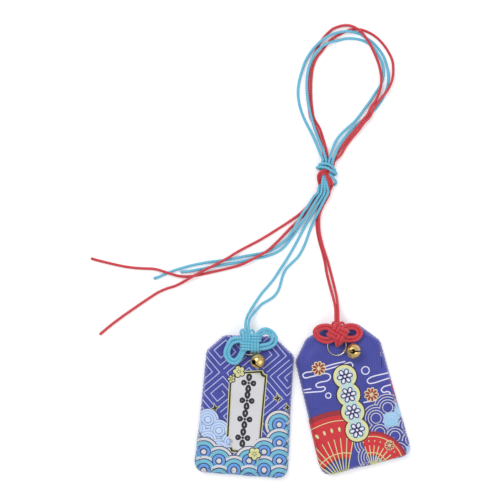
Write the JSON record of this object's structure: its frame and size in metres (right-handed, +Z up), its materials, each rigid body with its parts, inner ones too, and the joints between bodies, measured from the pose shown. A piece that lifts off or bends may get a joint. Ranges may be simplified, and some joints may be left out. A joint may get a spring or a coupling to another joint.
{
  "type": "omamori charm pair",
  "caption": "Padded brocade omamori pouches with decorative knots, rings and jingle bells, tied by their braided cords into one hanging loop with loose tails.",
  "frame": {"origin": "on the table, under the middle of the pouches' box", "axes": "+X to the right across the two pouches, +Y towards the hanging loop, +Z up out of the pouches' faces"},
  "size_m": [0.175, 0.2489, 0.0147],
  "materials": {
    "brocade": "woven brocade, satin sheen",
    "felt": "soft felt",
    "card": "uncoated board",
    "paper": "uncoated folded paper",
    "brass": "polished brass",
    "cyan_cord": "braided cord, light blue",
    "red_cord": "braided cord, red"
  },
  "bodies": {
    "cords": {"shared_knot": "cyan_cord", "cyan_loop_outer": "cyan_cord", "cyan_loop_inner": "cyan_cord", "red_loop_outer": "red_cord", "red_loop_inner": "red_cord", "cyan_neck_left": "cyan_cord", "cyan_neck_right": "cyan_cord", "red_neck_left": "red_cord", "red_neck_right": "red_cord", "cyan_tail_long": "cyan_cord", "cyan_tail_short": "cyan_cord", "red_tail_upper": "red_cord", "red_tail_lower": "red_cord"},
    "left_charm": {"left_back_panel": "brocade", "left_front_panel": "brocade", "left_stiffener_card": "card", "left_padding": "felt", "left_prayer_slip": "paper", "left_decorative_knot": "cyan_cord"},
    "left_ring": {"left_ring": "brass"},
    "left_bell": {"left_bell_crown": "brass", "left_bell_bowl": "brass", "left_bell_eye": "brass"},
    "left_pellet": {"left_bell_pellet": "brass"},
    "right_charm": {"right_back_panel": "brocade", "right_front_panel": "brocade", "right_stiffener_card": "card", "right_padding": "felt", "right_prayer_slip": "paper", "right_decorative_knot": "red_cord"},
    "right_ring": {"right_ring": "brass"},
    "right_bell": {"right_bell_crown": "brass", "right_bell_bowl": "brass", "right_bell_eye": "brass"},
    "right_pellet": {"right_bell_pellet": "brass"}
  },
  "joints": [
    {"name": "left_charm_swing", "type": "hinge", "parent": "cords", "child": "left_charm", "pos_m": [-0.0308, 0.0363, 0.0082], "axis": [0, 0, 1], "range_deg": [-25, 0]},
    {"name": "left_ring_turn", "type": "hinge", "parent": "left_charm", "child": "left_ring", "pos_m": [-0.03001, 0.0262, 0.0071], "axis": [0, 0, 1], "range_deg": [-30, 0]},
    {"name": "left_bell_lift", "type": "hinge", "parent": "left_ring", "child": "left_bell", "pos_m": [-0.02616, 0.02419, 0.00755], "axis": [-0.9018, -0.381, -0.2038], "range_deg": [0, 12]},
    {"name": "left_pellet_rattle", "type": "slide", "parent": "left_bell", "child": "left_pellet", "axis": [0.2249, -0.8166, 0.5315], "range_m": [0, 0.0032]},
    {"name": "right_charm_swing", "type": "hinge", "parent": "cords", "child": "right_charm", "pos_m": [0.0184, 0.0418, 0.0082], "axis": [0, 0, 1], "range_deg": [0, 25]},
    {"name": "right_ring_turn", "type": "hinge", "parent": "right_charm", "child": "right_ring", "pos_m": [0.01904, 0.02803, 0.0071], "axis": [0, 0, 1], "range_deg": [-45, 0]},
    {"name": "right_bell_lift", "type": "hinge", "parent": "right_ring", "child": "right_bell", "pos_m": [0.02268, 0.02502, 0.00755], "axis": [-0.1668, -0.9465, 0.2764], "range_deg": [0, 25]},
    {"name": "right_pellet_rattle", "type": "slide", "parent": "right_bell", "child": "right_pellet", "axis": [0.847, 0.0059, 0.5315], "range_m": [0, 0.0032]}
  ]
}
